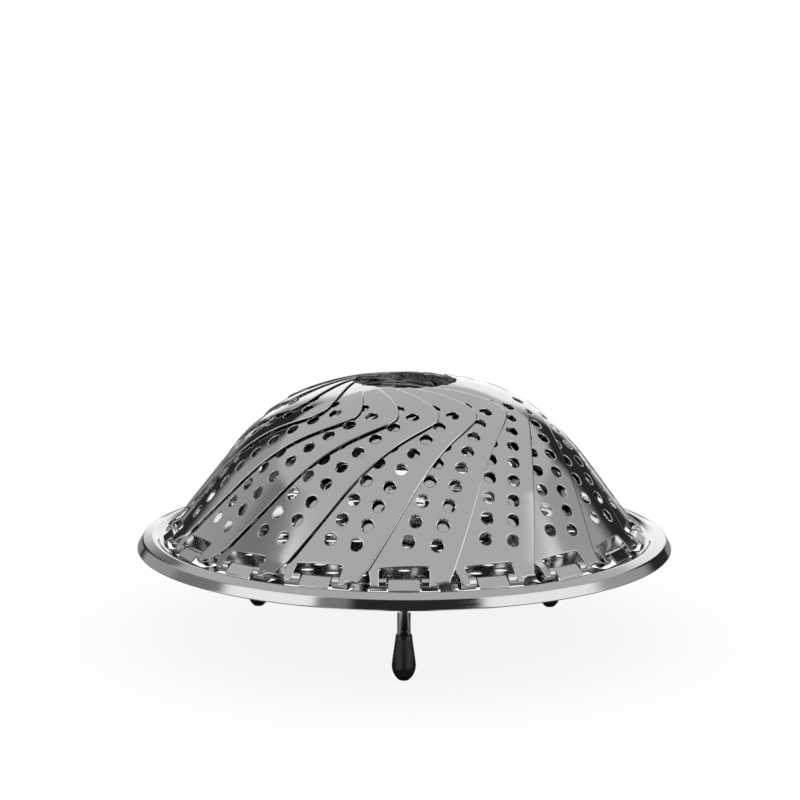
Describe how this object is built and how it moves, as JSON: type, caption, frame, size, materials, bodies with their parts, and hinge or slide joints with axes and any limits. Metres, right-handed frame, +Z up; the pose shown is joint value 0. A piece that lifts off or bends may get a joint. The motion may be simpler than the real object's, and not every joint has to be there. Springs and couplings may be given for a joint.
{
  "type": "folding steamer basket",
  "caption": "Folding steamer basket with overlapping perforated leaves hinged round a flanged tray, folding rod legs with rubber boots, and a lifting ring inside.",
  "frame": {"origin": "on the basket's upright axis, at the height of the three feet's soles", "axes": "+Z up along the basket's axis, -Y towards the front leg"},
  "size_m": [0.17, 0.17, 0.0812],
  "materials": {
    "polished_steel": "mirror-polished stainless steel",
    "satin_steel": "circumferential satin",
    "plain_steel": "bright drawn wire and sheet",
    "black_rubber": "smooth black rubber"
  },
  "bodies": {
    "tray": {"base_tray": "satin_steel", "front_leg_bracket": "plain_steel", "front_bracket_rivets": "plain_steel", "front_leg_pin": "plain_steel", "right_leg_bracket": "plain_steel", "right_bracket_rivets": "plain_steel", "right_leg_pin": "plain_steel", "left_leg_bracket": "plain_steel", "left_bracket_rivets": "plain_steel", "left_leg_pin": "plain_steel", "ring_saddle": "plain_steel", "saddle_rivets": "plain_steel"},
    "leaf_01_body": {"leaf_01": "polished_steel"},
    "leaf_02_body": {"leaf_02": "polished_steel"},
    "leaf_03_body": {"leaf_03": "polished_steel"},
    "leaf_04_body": {"leaf_04": "polished_steel"},
    "leaf_05_body": {"leaf_05": "polished_steel"},
    "leaf_06_body": {"leaf_06": "polished_steel"},
    "leaf_07_body": {"leaf_07": "polished_steel"},
    "leaf_08_body": {"leaf_08": "polished_steel"},
    "leaf_09_body": {"leaf_09": "polished_steel"},
    "leaf_10_body": {"leaf_10": "polished_steel"},
    "leaf_11_body": {"leaf_11": "polished_steel"},
    "leaf_12_body": {"leaf_12": "polished_steel"},
    "leaf_13_body": {"leaf_13": "polished_steel"},
    "leaf_14_body": {"leaf_14": "polished_steel"},
    "leaf_15_body": {"leaf_15": "polished_steel"},
    "leaf_16_body": {"leaf_16": "polished_steel"},
    "leaf_17_body": {"leaf_17": "polished_steel"},
    "leaf_18_body": {"leaf_18": "polished_steel"},
    "front_leg_body": {"front_leg": "plain_steel", "front_leg_boot": "black_rubber"},
    "right_leg_body": {"right_leg": "plain_steel", "right_leg_boot": "black_rubber"},
    "left_leg_body": {"left_leg": "plain_steel", "left_leg_boot": "black_rubber"},
    "ring_body": {"lift_ring": "plain_steel"}
  },
  "joints": [
    {"name": "leaf_01_hinge", "type": "hinge", "parent": "tray", "child": "leaf_01_body", "pos_m": [0, -0.0732, 0.03313], "axis": [1, 0, 0], "range_deg": [0, 90]},
    {"name": "leaf_02_hinge", "type": "hinge", "parent": "tray", "child": "leaf_02_body", "pos_m": [0.02504, -0.06879, 0.03313], "axis": [0.9397, 0.342, 0], "range_deg": [0, 90]},
    {"name": "leaf_03_hinge", "type": "hinge", "parent": "tray", "child": "leaf_03_body", "pos_m": [0.04705, -0.05607, 0.03313], "axis": [0.766, 0.6428, 0], "range_deg": [0, 90]},
    {"name": "leaf_04_hinge", "type": "hinge", "parent": "tray", "child": "leaf_04_body", "pos_m": [0.06339, -0.0366, 0.03313], "axis": [0.5, 0.866, 0], "range_deg": [0, 90]},
    {"name": "leaf_05_hinge", "type": "hinge", "parent": "tray", "child": "leaf_05_body", "pos_m": [0.07209, -0.01271, 0.03313], "axis": [0.1736, 0.9848, 0], "range_deg": [0, 90]},
    {"name": "leaf_06_hinge", "type": "hinge", "parent": "tray", "child": "leaf_06_body", "pos_m": [0.07209, 0.01271, 0.03313], "axis": [-0.1736, 0.9848, 0], "range_deg": [0, 90]},
    {"name": "leaf_07_hinge", "type": "hinge", "parent": "tray", "child": "leaf_07_body", "pos_m": [0.06339, 0.0366, 0.03313], "axis": [-0.5, 0.866, 0], "range_deg": [0, 90]},
    {"name": "leaf_08_hinge", "type": "hinge", "parent": "tray", "child": "leaf_08_body", "pos_m": [0.04705, 0.05607, 0.03313], "axis": [-0.766, 0.6428, 0], "range_deg": [0, 90]},
    {"name": "leaf_09_hinge", "type": "hinge", "parent": "tray", "child": "leaf_09_body", "pos_m": [0.02504, 0.06879, 0.03313], "axis": [-0.9397, 0.342, 0], "range_deg": [0, 90]},
    {"name": "leaf_10_hinge", "type": "hinge", "parent": "tray", "child": "leaf_10_body", "pos_m": [0, 0.0732, 0.03313], "axis": [-1, 0, 0], "range_deg": [0, 90]},
    {"name": "leaf_11_hinge", "type": "hinge", "parent": "tray", "child": "leaf_11_body", "pos_m": [-0.02504, 0.06879, 0.03313], "axis": [-0.9397, -0.342, 0], "range_deg": [0, 90]},
    {"name": "leaf_12_hinge", "type": "hinge", "parent": "tray", "child": "leaf_12_body", "pos_m": [-0.04705, 0.05607, 0.03313], "axis": [-0.766, -0.6428, 0], "range_deg": [0, 90]},
    {"name": "leaf_13_hinge", "type": "hinge", "parent": "tray", "child": "leaf_13_body", "pos_m": [-0.06339, 0.0366, 0.03313], "axis": [-0.5, -0.866, 0], "range_deg": [0, 90]},
    {"name": "leaf_14_hinge", "type": "hinge", "parent": "tray", "child": "leaf_14_body", "pos_m": [-0.07209, 0.01271, 0.03313], "axis": [-0.1736, -0.9848, 0], "range_deg": [0, 90]},
    {"name": "leaf_15_hinge", "type": "hinge", "parent": "tray", "child": "leaf_15_body", "pos_m": [-0.07209, -0.01271, 0.03313], "axis": [0.1736, -0.9848, 0], "range_deg": [0, 90]},
    {"name": "leaf_16_hinge", "type": "hinge", "parent": "tray", "child": "leaf_16_body", "pos_m": [-0.06339, -0.0366, 0.03313], "axis": [0.5, -0.866, 0], "range_deg": [0, 90]},
    {"name": "leaf_17_hinge", "type": "hinge", "parent": "tray", "child": "leaf_17_body", "pos_m": [-0.04705, -0.05607, 0.03313], "axis": [0.766, -0.6428, 0], "range_deg": [0, 90]},
    {"name": "leaf_18_hinge", "type": "hinge", "parent": "tray", "child": "leaf_18_body", "pos_m": [-0.02504, -0.06879, 0.03313], "axis": [0.9397, -0.342, 0], "range_deg": [0, 90]},
    {"name": "front_leg_fold", "type": "hinge", "parent": "tray", "child": "front_leg_body", "pos_m": [0, -0.0564, 0.0254], "axis": [1, 0, 0], "range_deg": [0, 88]},
    {"name": "right_leg_fold", "type": "hinge", "parent": "tray", "child": "right_leg_body", "pos_m": [0.04884, 0.0282, 0.0254], "axis": [-0.5, 0.866, 0], "range_deg": [0, 88]},
    {"name": "left_leg_fold", "type": "hinge", "parent": "tray", "child": "left_leg_body", "pos_m": [-0.04884, 0.0282, 0.0254], "axis": [-0.5, -0.866, 0], "range_deg": [0, 88]},
    {"name": "lift_ring_swing", "type": "hinge", "parent": "tray", "child": "ring_body", "pos_m": [0, 0, 0.0326], "axis": [0, -1, 0], "range_deg": [0, 180]}
  ],
  "couplings": [
    {"joint": "leaf_02_hinge", "follows": "leaf_01_hinge", "ratio": 1},
    {"joint": "leaf_03_hinge", "follows": "leaf_01_hinge", "ratio": 1},
    {"joint": "leaf_04_hinge", "follows": "leaf_01_hinge", "ratio": 1},
    {"joint": "leaf_05_hinge", "follows": "leaf_01_hinge", "ratio": 1},
    {"joint": "leaf_06_hinge", "follows": "leaf_01_hinge", "ratio": 1},
    {"joint": "leaf_07_hinge", "follows": "leaf_01_hinge", "ratio": 1},
    {"joint": "leaf_08_hinge", "follows": "leaf_01_hinge", "ratio": 1},
    {"joint": "leaf_09_hinge", "follows": "leaf_01_hinge", "ratio": 1},
    {"joint": "leaf_10_hinge", "follows": "leaf_01_hinge", "ratio": 1},
    {"joint": "leaf_11_hinge", "follows": "leaf_01_hinge", "ratio": 1},
    {"joint": "leaf_12_hinge", "follows": "leaf_01_hinge", "ratio": 1},
    {"joint": "leaf_13_hinge", "follows": "leaf_01_hinge", "ratio": 1},
    {"joint": "leaf_14_hinge", "follows": "leaf_01_hinge", "ratio": 1},
    {"joint": "leaf_15_hinge", "follows": "leaf_01_hinge", "ratio": 1},
    {"joint": "leaf_16_hinge", "follows": "leaf_01_hinge", "ratio": 1},
    {"joint": "leaf_17_hinge", "follows": "leaf_01_hinge", "ratio": 1},
    {"joint": "leaf_18_hinge", "follows": "leaf_01_hinge", "ratio": 1}
  ]
}
